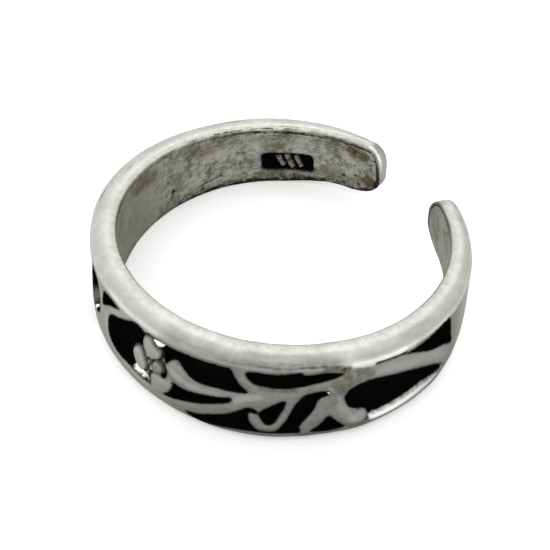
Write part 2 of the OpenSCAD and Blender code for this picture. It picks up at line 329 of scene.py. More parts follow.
def onRing(turn, radius, height):
    angle = np.radians(turn)
    return np.column_stack((np.sin(angle) * radius, -np.cos(angle) * radius, height))


def tilted(dx, dy, degrees):
    tilt = math.radians(degrees)
    return dx * math.cos(tilt) + dy * math.sin(tilt), dy * math.cos(tilt) - dx * math.sin(tilt)


def nearestOn(points, line, closed):
    # distance from each point to a run of straight pieces, and the way there
    ends = np.roll(line, -1, 0) if closed else line[1:]
    starts = line if closed else line[:-1]
    nearest = np.full(len(points), 1e9)
    way = np.zeros((len(points), 2))
    for start, end in zip(starts, ends):
        along = end - start
        t = np.clip(((points - start) @ along) / max(along @ along, 1e-12), 0, 1)
        gap = start + t[:, None] * along - points
        size = (gap * gap).sum(1)
        closer = size < nearest
        nearest[closer] = size[closer]
        way[closer] = gap[closer]
    return np.sqrt(nearest), way


def insideLoop(points, loop):
    inside = np.zeros(len(points), bool)
    x, y = points[:, 0], points[:, 1]
    for (x0, y0), (x1, y1) in zip(loop, np.roll(loop, -1, 0)):
        if y0 == y1:
            continue
        crosses = (y0 > y) != (y1 > y)
        inside ^= crosses & (x < x0 + (y - y0) * (x1 - x0) / (y1 - y0))
    return inside


def signedDistance(points, loop, reach):
    # negative inside the loop; points further away than reach keep that value
    distance = np.full(len(points), reach)
    way = np.zeros((len(points), 2))
    low, high = loop.min(0) - reach, loop.max(0) + reach
    near = np.nonzero(((points > low) & (points < high)).all(1))[0]
    gap, toward = nearestOn(points[near], loop, True)
    distance[near] = np.where(insideLoop(points[near], loop), -gap, gap)
    way[near] = toward
    return distance, way


def pocketDistance(points):
    result = np.full(len(points), chartReach)
    way = np.zeros((len(points), 2))
    outlines = list(pocketOutlines.values())
    for name in mirroredPockets:
        rows = [(-t, h * float(upperEdge(-t) / upperEdge(t))) for t, h in pocketOutlines[name]]
        outlines.append(rows)
    for rows in outlines:
        distance, toward = signedDistance(points, smoothLoop(toChart(rows)), chartReach)
        closer = distance < result
        result[closer] = distance[closer]
        way[closer] = toward[closer]
    return result, way


def asDrawn(turn, height, radial):
    # the outlines were drawn on a plain cylinder as the photograph shows them: this gives the
    # place there of a point of the domed face
    inward = chartRadius - radial + band["edgeFall"]
    inward = inward * ease(-45, -20, turn)
    off = np.radians(np.clip(photoView["azimuth"] - turn, -62, 62))
    up = inward * math.tan(math.radians(photoView["elevation"])) / np.cos(off)
    arc = np.radians(turn) * chartRadius + inward * np.tan(off)
    return np.column_stack((arc, height + up))


def ovalShare(points, spot, radius):
    # 0 at the middle of an oval, 1 on its rim
    dx = points[:, 0] - math.radians(spot["turn"]) * radius
    across, up = tilted(dx, points[:, 1] - spot["height"], spot["tilt"])
    return np.hypot(across / spot["halfWide"], up / spot["halfTall"])


def roundedCorner(share, drop, power, last=90, points=24):
    # from the outer face over to an edge: shares of the wall, and mm from the edge
    angle = np.radians(np.linspace(2, last, points))
    return (1 - share * (1 - np.cos(angle) ** (2 / power)),
            drop * (1 - np.sin(angle) ** (2 / power)))


def sectionLoop(count):
    # one turn round the band's section, as shares of the wall (0 inside, 1 outside) and height
    tall, thick = 5.0, 1.2
    topX, topDrop = roundedCorner(band["rimShare"], band["rimDrop"], band["rimPower"])
    lowX, lowDrop = roundedCorner(band["domeShare"], band["domeDrop"], band["domePower"], 84)
    corner = np.radians(np.linspace(0, 90, 8))
    bevelX = band["innerBevel"] / thick * (1 - np.sin(corner))
    bevelY = band["innerBevel"] / tall * (1 - np.cos(corner))
    x = np.concatenate((topX, bevelX, bevelX[::-1], lowX[::-1]))
    y = np.concatenate((1 - topDrop / tall, 1 - bevelY, bevelY[::-1], lowDrop[::-1] / tall))
    # even steps, with the inner wall coarser except where the cartouche is
    x, y = np.append(x, x[0]), np.append(y, y[0])
    length = np.concatenate(([0], np.cumsum(np.hypot(np.diff(x) * thick, np.diff(y) * tall))))
    dense = np.linspace(0, length[-1], 2000)
    x, y = np.interp(dense, length, x), np.interp(dense, length, y)
    inner = x < 0.02
    mark = inner & (y > 0.19) & (y < 0.61)
    weight = np.where(inner, np.where(mark, 0.62, 0.2), 1.0)
    weight = np.where((x > 0.12) & (x < 0.9) & ((y > 0.8) | (y < 0.03)), 0.6, weight)
    total = np.concatenate(([0], np.cumsum((weight[1:] + weight[:-1]) / 2)))
    places = np.linspace(0, total[-1], count + 1)[:-1]
    return np.column_stack((np.interp(places, total, x), np.interp(places, total, y)))


def columnTurns():
    # the columns crowd together towards both tips
    crowd = np.linspace(0, 1, band["endColumns"]) ** 2
    crowd = crowd * math.degrees(band["endReach"] / boreRadius)
    turns = list(band["leftTip"] + crowd)
    for run in columnRuns:
        length = math.radians(run["upTo"] - turns[-1]) * chartRadius
        steps = max(2, round(length / run["step"]))
        turns += list(np.linspace(turns[-1], run["upTo"], steps + 1)[1:])
    return np.array(turns + list(band["rightTip"] - crowd[::-1]))


def closeIn(turn, t, wallShare):
    # the edges close in on each end's nose, and the wall is rounded off there
    low, high = lowerEdge(turn), upperEdge(turn)
    middle = (low + high) / 2
    height = middle + t * (high - low) / 2
    for end in endShapes:
        away = np.radians(np.abs(band[end["tip"]] - turn)) * boreRadius
        reach = np.where(t < 0, end["low"], end["high"])
        closing = np.sqrt(1 - np.clip(1 - away / reach, 0, 0.9998) ** 2)
        nose = end["nose"] + (middle - end["nose"]) * ease(0, band["noseLength"], away)
        ending = nose + np.where(t < 0, t * (nose - low), t * (high - nose)) * closing
        height = np.where(away < band["noseLength"], ending, height)
        for radius, inner in ((band["endInner"], True), (band["endOuter"], False)):
            edge = np.clip(radius - away, 0, radius)
            inset = (radius - np.sqrt(radius ** 2 - edge ** 2)) / wallAt(turn)
            side = 1 - wallShare if inner else -wallShare
            wallShare = wallShare + inset * side
    return height, wallShare


def innerOutline(turns):
    # edge of the inner wall, unrolled: along its lower edge and back along the upper one
    sparse = np.unique(np.concatenate((turns[:30], turns[30:-30:6], turns[-30:])))
    rows = []
    for t, path in ((-1, sparse), (1, sparse[::-1])):
        height, share = closeIn(path, np.full(len(path), t), np.zeros(len(path)))
        rows.append(np.column_stack((np.radians(path) * boreRadius, height)))
    return np.concatenate(rows)


def unevenness(points, scale, seed):
    return np.array([noise.noise(Vector(p) * scale + Vector((seed, 0, 0))) for p in points])


def layOutSheet(mesh, turns, section):
    # where each point of the flat sheet goes: its turn, and its shares of the wall and height
    sheet = np.zeros(len(mesh.vertices) * 3)
    mesh.vertices.foreach_get("co", sheet)
    sheet = sheet.reshape(-1, 3) + 0.5
    turn = turns[np.rint(sheet[:, 0] * (len(turns) - 1)).astype(int)]
    row = np.rint(sheet[:, 1] * len(section)).astype(int) % len(section)
    wallShare, heightShare = section[row].T

    # the lower dome is rounder on the left and flatter on the right
    flatter = 1 + 0.14 * ease(-45, -20, turn) * ease(27, 12, turn)
    flatter = flatter - 0.12 * ease(62, 80, turn) - 0.06 * np.exp(-((turn - 30) / 5) ** 2)
    drawn = 1 - wallShare
    drawn = drawn * (flatter + (1 - flatter) * ease(0.5, 0.85, drawn))
    return turn, np.where(heightShare < 0.5, 1 - drawn, wallShare), heightShare


def snapToPockets(face, chart, turn):
    # distance from the nearest pocket's edge, negative inside; a point that lies almost on an
    # edge is moved onto it, which keeps the edge sharp
    spots = np.nonzero(face)[0]
    distance = np.full(len(face), chartReach)
    distance[face], way = pocketDistance(chart[face])
    moved = np.zeros((len(face), 2))
    close = np.abs(distance[face]) < band["snap"]
    moved[spots[close]] = way[close]
    distance[spots[close]] = 0
    lips = []
    for lip in roundLips:
        within = ease(1.04, 0.96, ovalShare(chart, lip, chartRadius))
        within = np.where(face, within, 0)
        run = lip["run"] * (1 - (1 - lip["narrow"]) * ease(lip["from"], lip["to"], turn))
        lips.append((within, run))
        # the lip's far edge is kept sharp too
        short = -run[face] - distance[face]
        edge = (np.abs(short) < band["snap"]) & (within[face] > 0.5)
        toward = way[edge] / np.maximum(np.hypot(*way[edge].T), 1e-6)[:, None]
        moved[spots[edge]] = toward * short[edge][:, None]
        distance[spots[edge]] = -run[face][edge]
    return distance, moved, lips


def sinkPockets(face, chart, distance, lips):
    # depth below the face, depth into the blackening, painted glint of a bare wall, share of a lip
    deepest = band["pocketDepth"]
    sunk = deepest * ease(0, band["wallRun"], -distance)
    glint = np.zeros(len(face))
    for spot in brightWalls:
        share = ovalShare(chart, spot, chartRadius)
        within = np.where(face, ease(1.08, 0.92, share), 0)
        gentle = deepest * np.clip(-distance / spot["run"], 0, 1)
        sunk = sunk + (gentle - sunk) * within
        shine = np.where(face, ease(1.08, spot["clear"], share), 0)
        glint = np.maximum(glint, spot["shine"] * shine)
    blackened = -distance
    lipped = np.zeros(len(face))
    for within, run in lips:
        across = np.clip(-distance / run, 0, 1)
        rounded = deepest * np.clip(run / 0.3, 0.3, 1) * (1 - np.sqrt(1 - (0.9 * across) ** 2))
        rounded = rounded + (sunk - rounded) * ease(0, 0.14, -distance - run)
        sunk = sunk + (rounded - sunk) * within
        blackened = blackened - run * within
        lipped = np.maximum(lipped, within * ease(0.15, 0.6, across))
    return sunk, blackened, glint, lipped


def carvePetals(face, chart):
    # engraved lines, with the petals' seams among them, and the petals' domes
    groove = np.zeros(len(face))
    dome = np.zeros(len(face))
    for rows in grooveLines.values():
        gap = nearestOn(chart[face], toChart(rows), False)[0]
        groove[face] = np.maximum(groove[face], np.exp(-(gap / band["grooveWidth"]) ** 2))
    for petal in petals.values():
        gap = signedDistance(chart, smoothLoop(toChart(petal["outline"])), 0.3)[0]
        soft = np.clip(-gap / petal["soft"], 0, 1)
        bulge = petal["rise"] * np.sqrt(1 - (1 - soft) ** 2)
        dome = np.maximum(dome, np.where(face, bulge, 0))
        seam = petal["seam"] * np.exp(-(gap / band["grooveWidth"]) ** 2)
        groove = np.maximum(groove, np.where(face, seam, 0))
    return groove, dome


def highlightAndTarnish(chart, around, outer):
    tone = np.zeros(len(chart))
    blotch = unevenness(around, 3.2, 63.0)
    for spot in tones:
        gap = nearestOn(chart, toChart(spot["path"]), False)[0]
        ragged = 0.35 if spot["amount"] < 0 else 0.15
        share = ease(1.25, 0.3, gap / spot["width"] + ragged * blotch)
        tone = tone + np.where(outer, spot["amount"] * share, 0)
    return np.clip(tone, -1, 1)


def cartoucheAt(turn, height, innerWall, around):
    # distance from the cartouche's edge, negative inside, and the strokes left standing in it
    dx = np.radians(turn - cartouche["turn"]) * boreRadius
    dy = height - cartouche["low"] - cartouche["height"] / 2
    corner = cartouche["corner"]
    boxX = np.abs(dx - 0.08 * dy) - cartouche["width"] / 2 + corner
    boxY = np.abs(dy) - cartouche["height"] / 2 + corner
    boxGap = np.hypot(np.clip(boxX, 0, None), np.clip(boxY, 0, None)) - corner
    boxGap = boxGap + np.minimum(np.maximum(boxX, boxY), 0)
    boxGap = np.where(innerWall, boxGap + 0.03 * unevenness(around, 3.0, 40.0), chartReach)
    stroke = np.zeros(len(turn))
    for mark in cartouche["strokes"]:
        across, up = tilted(dx - mark["along"], dy, mark["tilt"])
        off = np.maximum(np.abs(across) - mark["halfWide"], np.abs(up) - mark["halfTall"])
        stroke = np.maximum(stroke, ease(0.03, -0.03, off))
    stroke = np.where(innerWall & (boxGap < -0.08), stroke, 0)
    return boxGap, stroke * ease(-0.75, -0.15, unevenness(around, 3.5, 51.0))


def stainShare(innerChart, around):
    stain = np.zeros(len(innerChart))
    ragged = 0.5 * unevenness(around, 1.7, 5.0)
    for spot in stains:
        share = ovalShare(innerChart, spot, boreRadius) + ragged
        stain = np.maximum(stain, spot["strength"] * ease(1.2, 0.7, share))
    return stain


def faceShade(turn, fallen, risen):
    # painted shade: the face is painted greyer than the rim, by mm below the upper edge and above the
    # lower one
    shade = 0.66 * ease(0.3, 0.6, fallen) + 0.34 * ease(0.05, 0.4, fallen)
    shade = shade * ease(120, 98, -turn) * ease(132, 112, turn)
    # more painted shade low on the outer face near the right end
    rightEnd = ease(90, 110, turn) * ease(164, 145, turn)
    shade = np.maximum(shade, 0.66 * ease(0.4, 0.7, fallen) * rightEnd)
    shade = shade * (0.62 + 0.38 * ease(2, 30, turn) - 0.12 * ease(76, 84, turn))
    # less painted shade just above the lower edge on the left
    return shade * (1 - 0.4 * ease(0.4, 0.15, risen) * ease(50, 30, turn))


def closeTube(bm, mesh):
    # the sheet has been laid out as a tube: close its seam and both ends
    bm.clear()
    bm.from_mesh(mesh)
    bmesh.ops.remove_doubles(bm, verts=bm.verts, dist=1e-7)
    openEdges = [edge for edge in bm.edges if edge.is_boundary]
    caps = bmesh.ops.holes_fill(bm, edges=openEdges, sides=0)["faces"]
    bmesh.ops.triangulate(bm, faces=caps, ngon_method="BEAUTY")
    bmesh.ops.recalc_face_normals(bm, faces=bm.faces)
    bm.to_mesh(mesh)
    bm.free()
    mesh.polygons.foreach_set("use_smooth", [True] * len(mesh.polygons))
    mesh.update()


def buildBand():
    turns = columnTurns()
    section = sectionLoop(band["sectionPoints"])
    bm = bmesh.new()
    bmesh.ops.create_grid(bm, x_segments=len(turns) - 1, y_segments=len(section), size=0.5)
    mesh = bpy.data.meshes.new("bandCast")
    bm.to_mesh(mesh)
    turn, straightShare, heightShare = layOutSheet(mesh, turns, section)
    print("band: sheet of", len(turn), "points in", len(turns), "columns")

    height, wallShare = closeIn(turn, 2 * heightShare - 1, straightShare)
    low, high = lowerEdge(turn), upperEdge(turn)
    wall = wallAt(turn)
    chart = asDrawn(turn, height, boreRadius + wallShare * wall)

    # distance across the inner edge: mm down the inner wall, negative out over the rim
    lip = -straightShare * wall
    inner = straightShare < 0.5
    innerChart = np.column_stack((np.radians(turn) * boreRadius, height))
    lip[inner] += nearestOn(innerChart[inner], innerOutline(turns), True)[0]

    # castings are never quite even
    around = onRing(turn, band["patternRadius"], height)
    swell = band["swell"] * unevenness(around, 0.45, 3.1)
    swell = swell + band["ripple"] * unevenness(around, 1.6, 7.7)
    top = ease(0.8, 1, heightShare)
    height = height + band["rimWave"] * top * unevenness(around, 0.5, 9.4)

    # relief on the outer face
    face = (wallShare > 0.25) & (np.abs(turn) < band["reliefEnd"])
    face = face & (high - height > band["reliefTop"]) & (height - low > band["reliefLow"])
    distance, moved, lips = snapToPockets(face, chart, turn)
    chart = chart + moved
    turn = turn + np.degrees(moved[:, 0] / chartRadius)
    height = height + moved[:, 1]
    fallen = high - height
    sunk, blackened, glint, lipped = sinkPockets(face, chart, distance, lips)
    sunk = np.minimum(sunk, np.clip(wallShare * wall - band["wallLeft"], 0, None))
    groove, dome = carvePetals(face, chart)
    eased = band["edgeFall"] * np.exp(-np.clip(distance, 0, None) / band["edgeRun"])
    eased = np.where(distance < chartReach, eased, 0) * (1 - lipped)
    metal = ease(-0.02, 0.03, distance)

    # crease that runs under the upper rim
    crease = np.exp(-((fallen - band["creaseFall"]) / band["creaseWidth"]) ** 2)
    crease = crease * ease(10, 17, turn) * ease(72, 64, turn)
    crease = np.where(wallShare > 0.7, crease, 0)

    radial = boreRadius + wallShare * wall + ease(0.3, 0.8, wallShare) * swell
    radial = radial - sunk + (dome - eased - band["grooveDepth"] * groove) * metal
    radial = radial - band["creaseDepth"] * crease

    # sunk cartouche and soft hollows in the inner wall
    innerWall = straightShare < 0.05
    boxGap, stroke = cartoucheAt(turn, height, innerWall, around)
    radial = radial + cartouche["depth"] * ease(0.03, -0.05, boxGap) * (1 - 0.8 * stroke)
    hollow = band["innerHollow"] * unevenness(around, 1.1, 21.0)
    radial = radial + np.where(innerWall, hollow, 0)

    mesh.vertices.foreach_set("co", (onRing(turn, radial, height) * mm).ravel())
    print("band: shaped, wall", round(float(wall.min()), 2), "to", round(float(wall.max()), 2))

    # values that the silver reads, point by point
    # painted highlight along the round lip, fading towards the right, with no painted shade under it
    lipShine = lipped * (1 - 0.55 * ease(84, 101, turn))
    shade = faceShade(turn, fallen, height - low) * (1 - lipShine)
    tone = highlightAndTarnish(chart, around, wallShare > 0.6)
    saved = {
        "soot": np.clip(np.where(innerWall, -boxGap, blackened), -0.5, 0.5),
        "glint": glint,
        "stroke": stroke,
        "fallen": np.where(wallShare > 0.5, fallen, 0),
        "groove": np.clip(1.15 * groove * metal, 0, 1),
        "tone": tone * (1 - lipped) + 0.8 * lipShine,
        "inside": ease(-0.12, -0.02, lip),
        "lip": np.clip(lip, -1.2, 2.0),
        "shade": np.where(straightShare > 0.5, shade, 0),
        "stain": np.where(innerWall, stainShare(innerChart, around), 0),
        "lowGap": height - low,
        "turn": turn,
    }
    for name, values in saved.items():
        attribute = mesh.attributes.new(name, "FLOAT", "POINT")
        attribute.data.foreach_set("value", np.asarray(values, np.float32))
    layout = np.column_stack((np.radians(turn) * chartRadius, height, straightShare * 1.2))
    chartData = mesh.attributes.new("chart", "FLOAT_VECTOR", "POINT")
    chartData.data.foreach_set("vector", layout.ravel().astype(np.float32))

    closeTube(bm, mesh)
    piece = bpy.data.objects.new("bandCast", mesh)
    bpy.context.scene.collection.objects.link(piece)
    return piece


class Nodes:
    # short forms for wiring a material
    def __init__(self, name):
        self.material = bpy.data.materials.new(name)
        self.material.use_nodes = True
        self.tree = self.material.node_tree
        self.shader = self.tree.nodes["Principled BSDF"]

    def add(self, kind, **inputs):
        node = self.tree.nodes.new(kind)
        for name, value in inputs.items():
            self.feed(node, name, value)
        return node

    def feed(self, node, name, value):
        # the value is a node's output, a constant, or a name in silverLook
        socket = node.inputs[name]
        if isinstance(value, bpy.types.NodeSocket):
            self.tree.links.new(value, socket)
        else:
            socket.default_value = silverLook[value] if isinstance(value, str) else value

    def value(self, name):
        node = self.add("ShaderNodeAttribute")
        node.attribute_name = name
        return node.outputs["Fac"]

    def math(self, operation, a, b=0.0, clamp=False):
        node = self.add("ShaderNodeMath")
        node.operation = operation
        node.use_clamp = clamp
        self.feed(node, 0, a)
        self.feed(node, 1, b)
        return node.outputs[0]

    def chain(self, operation, parts, clamp=False):
        total = parts[0]
        for part in parts[1:]:
            total = self.math(operation, total, part, clamp)
        return total

    def times(self, *parts, clamp=False):
        return self.chain("MULTIPLY", parts, clamp)

    def plus(self, *parts, clamp=False):
        return self.chain("ADD", parts, clamp)

    def minus(self, *parts, clamp=False):
        return self.chain("SUBTRACT", parts, clamp)

    def largest(self, *parts):
        return self.chain("MAXIMUM", parts)

    def smallest(self, *parts):
        return self.chain("MINIMUM", parts)

    def ramp(self, value, low, high, start=0.0, end=1.0):
        node = self.add("ShaderNodeMapRange", **{
            "Value": value, "From Min": low, "From Max": high, "To Min": start, "To Max": end})
        node.interpolation_type = "SMOOTHSTEP"
        return node.outputs["Result"]

    def line(self, value, centre, width):
        # 1 where the value is at the centre, fading to 0 a width away
        off = self.math("ABSOLUTE", self.minus(value, centre))
        return self.ramp(off, width, 0.3 * width)

    def edgeLine(self, value, centre, halfWidth):
        # a line at the centre whose half width is itself a value
        off = self.math("ABSOLUTE", self.minus(value, centre))
        return self.ramp(self.minus(halfWidth, off), -0.015, 0.015)

    def mix(self, share, a, b):
        node = self.add("ShaderNodeMix")
        node.data_type = "RGBA"
        for place, value in ((0, share), (6, a), (7, b)):
            self.feed(node, place, value)
        return node.outputs[2]

    def blend(self, *parts):
        return self.plus(*[self.times(value, share) for value, share in parts])

    def noise(self, vector, scale, detail=3.0, rough=0.55):
        node = self.add("ShaderNodeTexNoise", Vector=vector, Scale=scale, Detail=detail,
                        Roughness=rough)
        return node.outputs["Fac"]

    def stretched(self, vector, scale):
        return self.add("ShaderNodeMapping", Vector=vector, Scale=scale).outputs["Vector"]


silverLook = {
    "bright": (0.66, 0.665, 0.63, 1),
    "dull": (0.5, 0.505, 0.465, 1),
    # painted shade colour of the outer face
    "shaded": (0.148, 0.148, 0.138, 1),
    # painted highlight colour
    "paintedHighlight": (0.9, 0.905, 0.87, 1),
    # near white, for painted glints and highlights
    "ledge": (0.95, 0.95, 0.94, 1),
    "insideBright": (0.345, 0.345, 0.308, 1),
    "insideDull": (0.105, 0.102, 0.08, 1),
    "calmLeft": (0.21, 0.207, 0.172, 1),  # the evener stretches of the inner wall
    "calmRight": (0.285, 0.298, 0.272, 1),
    "brown": (0.1, 0.075, 0.04, 1),
    "olive": (0.15, 0.145, 0.1, 1),
    "tarnish": (0.045, 0.04, 0.028, 1),
    "crease": (0.05, 0.043, 0.032, 1),
    "creaseLine": 0.1,  # half width of the dark line in the crease
    "creaseHaze": 0.34,  # and of the tarnish and painted shade round it
    # painted shade on the rim
    "rimShade": (0.43, 0.435, 0.395, 1),
    # painted shade on the left end's nose
    "noseGrey": (0.27, 0.27, 0.255, 1),
    "line": (0.012, 0.011, 0.007, 1),
    "stroke": (0.34, 0.31, 0.26, 1),
    "black": (0.002, 0.002, 0.002, 1),
    "edgeTint": (0.55, 0.55, 0.53, 1),  # keeps glancing edges from going white
    "roughLow": 0.32,
    "roughHigh": 0.46,
    "roughInside": 0.08,  # added on the inner wall, and in the blackening
    "roughBlack": 0.3,
    "bumpStrength": 0.4,
    "bumpDepth": 0.000014,  # metres
}

# Small dark pits and flecks, with half their length and width. On the inner wall "up" is the
# height, on the rim it is mm across from that wall (negative outwards).
wallFlecks = asRows("turn up long wide tilt strength", [
    (-84.4, 1.27, 0.13, 0.13, 0, 1.0),
    (-84.0, 1.0, 0.09, 0.12, 20, 0.6),
    (-151.7, 1.18, 0.13, 0.1, 0, 0.85),
    (-156.5, 1.44, 0.09, 0.08, 0, 0.8),
    (-151.9, 0.71, 0.12, 0.08, 20, 0.85),
    (-158.0, 0.95, 0.12, 0.1, 0, 0.85),
    (-162.5, 2.5, 0.05, 0.1, 10, 0.75),
    (-149.4, 0.68, 0.07, 0.07, 0, 0.8),
    (-160.0, 1.85, 0.08, 0.06, 0, 0.6),
    (-164.9, 1.45, 0.2, 0.2, 0, 0.6),
    (-124.5, 2.88, 0.16, 0.035, 8, 0.8),
    (-125.0, 3.05, 0.03, 0.16, -15, 0.6),
    (-100.2, 0.8, 0.8, 0.055, -13, 0.85),
    (-105.5, 0.9, 0.3, 0.05, 25, 0.6),
])
rimFlecks = asRows("turn up long wide tilt strength", [
    (-157.0, -0.6, 0.26, 0.035, 0, 0.55),
    (-52.5, -1.02, 0.5, 0.035, 0, 0.55),
    (-59.5, -0.98, 0.2, 0.04, 0, 0.35),
    (-68.0, -0.72, 0.45, 0.07, 6, 0.22),
    (-111.5, -0.85, 0.4, 0.05, 5, 0.35),
    (-124.5, -0.5, 0.02, 0.3, -35, 0.35),
    (-128.0, -0.45, 0.015, 0.22, 0, 0.45),
    (90.0, -0.8, 0.3, 0.14, -12, 0.12),
    (152.0, -0.5, 0.5, 0.14, 20, 0.14),
    (157.5, -0.62, 0.3, 0.12, 0, 0.1),
    (97.0, -0.75, 0.7, 0.12, -6, 0.12),
])


def readPatterns(n):
    # patterns from broad to fine, two that run along the band, and the values saved on it
    chartNode = n.add("ShaderNodeAttribute")
    chartNode.attribute_name = "chart"
    n.chart = chartNode.outputs["Vector"]
    n.chartHeight = n.add("ShaderNodeSeparateXYZ", Vector=n.chart).outputs["Y"]
    coord = n.add("ShaderNodeTexCoord").outputs["Object"]
    n.place = n.stretched(coord, (1000, 1000, 1000))  # millimetres
    n.cloud = n.noise(n.place, 0.8, 3)
    n.mottle = n.noise(n.place, 3.4, 4, 0.62)
    n.speck = n.noise(n.place, 6.5, 3, 0.65)
    n.grain = n.noise(n.place, 12.0, 3, 0.6)
    n.streak = n.noise(n.stretched(n.chart, (1.6, 6.5, 1.0)), 1.0, 5, 0.68)
    n.scratch = n.noise(n.stretched(n.chart, (1.3, 24.0, 4.0)), 1.0, 3, 0.6)
    n.lip = n.value("lip")
    n.turn = n.value("turn")
    n.inside = n.value("inside")
    n.lowGap = n.value("lowGap")
    n.soot = n.value("soot")


def outerMetal(n):
    patch = n.blend((n.mottle, 0.3), (n.cloud, 0.3), (n.streak, 0.3), (n.grain, 0.1))
    colour = n.mix(n.ramp(patch, 0.34, 0.66), "bright", "dull")
    # painted shade along the middle of the rim and next to its inner edge, with a painted highlight
    # line (gleam) at the back
    middle = n.times(n.line(n.lip, -0.85, 0.42), n.ramp(n.turn, -5, 28, 0.35, 1.0),
                     n.ramp(n.cloud, 0.35, 0.6, 0.65, 1.0))
    colour = n.mix(middle, colour, "rimShade")
    innerRim = n.times(n.ramp(n.lip, -0.45, -0.12), n.ramp(n.mottle, 0.35, 0.6, 0.5, 0.9))
    colour = n.mix(innerRim, colour, "rimShade")
    gleam = n.edgeLine(n.lip, -0.4, n.ramp(n.streak, 0.42, 0.6, 0.0, 0.05))
    gleam = n.times(gleam, n.ramp(n.turn, -40, -80, 0.0, 0.35))
    colour = n.mix(gleam, colour, "paintedHighlight")
    # painted shade over the outer face
    shade = n.times(n.value("shade"), n.ramp(patch, 0.4, 0.6, 1.0, 0.84))
    colour = n.mix(shade, colour, "shaded")
    # painted highlights lighter, tarnish and painted shade darker
    tone = n.value("tone")
    colour = n.mix(n.times(tone, 1.0, clamp=True), colour, "paintedHighlight")
    dark = n.times(tone, -1.0, n.ramp(n.speck, 0.38, 0.56, 0.55, 1.25), clamp=True)
    darkColour = n.mix(n.ramp(n.mottle, 0.45, 0.55), "tarnish", "brown")
    return n.mix(dark, colour, darkColour)


def innerMetal(n):
    # mottled, with streaks along the band, dark specks and brown stains
    pattern = n.blend((n.cloud, 0.3), (n.mottle, 0.28), (n.streak, 0.2), (n.scratch, 0.08),
                      (n.speck, 0.14))
    colour = n.mix(n.ramp(pattern, 0.43, 0.6), "insideBright", "insideDull")
    calm = n.ramp(n.turn, -95, -65, 0.0, 0.7)
    calmColour = n.mix(n.ramp(n.turn, 60, 130), "calmLeft", "calmRight")
    colour = n.mix(calm, colour, calmColour)
    olive = n.times(n.ramp(n.cloud, 0.52, 0.68), n.ramp(n.mottle, 0.4, 0.6, 0.25, 0.8))
    colour = n.mix(olive, colour, "olive")
    # darker, brown and speckled, towards the lower edge of the inner wall on the left
    lowDark = n.times(n.ramp(n.lowGap, 0.85, 0.25), n.ramp(n.turn, -72, -90),
                   n.ramp(n.speck, 0.42, 0.58, 0.15, 0.9), n.ramp(n.turn, -148, -132, 0.35, 1.0))
    lowDarkColour = n.mix(n.ramp(n.mottle, 0.45, 0.55), "brown", "tarnish")
    colour = n.mix(lowDark, colour, lowDarkColour)
    stain = n.times(n.value("stain"), n.ramp(n.speck, 0.38, 0.56, 1.4, 0.8), clamp=True)
    stainColour = n.mix(n.ramp(n.mottle, 0.48, 0.62), "brown", "tarnish")
    colour = n.mix(stain, colour, stainColour)
    fine = n.noise(n.place, 10.0, 3, 0.6)
    level = n.plus(n.ramp(n.cloud, 0.35, 0.65, 0.34, 0.42), n.ramp(n.turn, -95, -150, -0.03, 0.03))
    dots = n.ramp(n.minus(level, fine), 0.0, 0.05)
    cuts = n.times(n.ramp(n.scratch, 0.36, 0.3), n.ramp(n.speck, 0.4, 0.55))
    dots = n.times(n.largest(dots, cuts), n.inside, n.minus(1.0, calm), 0.78)
    return n.mix(dots, colour, "tarnish"), pattern, dots


def darkEdgeLines(n):
    # dark ragged lines along the edge of the inner wall: under it, over it and out on the rim
    rag = n.noise(n.stretched(n.chart, (1.2, 5.0, 5.0)), 1.0, 4, 0.7)
    leftEnd = n.ramp(n.turn, -88, -125)
    under = n.times(n.edgeLine(n.lip, 0.15, n.ramp(rag, 0.42, 0.6, -0.05, 0.11)), leftEnd)
    over = n.times(n.edgeLine(n.lip, -0.12, n.ramp(rag, 0.62, 0.42, -0.03, 0.05)),
                   n.ramp(n.turn, -135, -124, 0.35, 1.0), n.ramp(n.turn, -86, -100))
    outer = n.times(n.edgeLine(n.lip, -0.27, n.ramp(n.streak, 0.45, 0.6, -0.02, 0.03)),
                    leftEnd, 0.35)
    # a dark line along the lower burr, and a faint line everywhere
    burrWidth = n.times(n.ramp(rag, 0.38, 0.56, 0.0, 0.22), n.ramp(n.turn, -146, -156, 1.0, 0.4))
    burr = n.times(n.ramp(n.lowGap, 2.0, 1.0), n.ramp(n.turn, -70, -105),
                   n.edgeLine(n.lip, 0.1, burrWidth))
    faint = n.times(n.line(n.lip, 0.14, 0.1), n.plus(n.ramp(n.turn, -160, -60, 0.2, 0.35),
                                                     n.ramp(n.turn, 138, 150, 0.0, 0.4)))
    # a wedge in the nose of the left end
    wedgeWidth = n.smallest(n.ramp(n.chartHeight, 3.1, 2.1, 0.015, 0.1),
                            n.ramp(n.chartHeight, 1.0, 1.6, 0.0, 0.1))
    wedge = n.times(n.edgeLine(n.lip, 0.13, wedgeWidth), n.ramp(n.turn, -161.0, -163.2),
                    n.ramp(rag, 0.35, 0.5, 1.0, 0.9))
    return n.largest(under, over, outer, burr, faint, wedge)


def leftNose(n, metal, darkLines):
    # the left end's nose gets painted shade outside, and a painted highlight down its edge
    nose = n.ramp(n.turn, -159.5, -162.0)
    grey = n.largest(n.ramp(n.lip, -0.22, -0.36), n.ramp(n.chartHeight, 2.5, 2.1))
    grey = n.times(nose, grey, n.minus(0.9, n.inside, clamp=True))
    metal = n.mix(grey, metal, "noseGrey")
    metal = n.mix(n.smallest(darkLines, 0.96), metal, "line")
    facet = n.edgeLine(n.lip, -0.15, n.ramp(n.chartHeight, 3.3, 2.3, 0.055, 0.0))
    facet = n.times(facet, nose, n.ramp(n.chartHeight, 2.2, 2.5, 0.0, 0.8))
    return n.mix(facet, metal, "ledge")


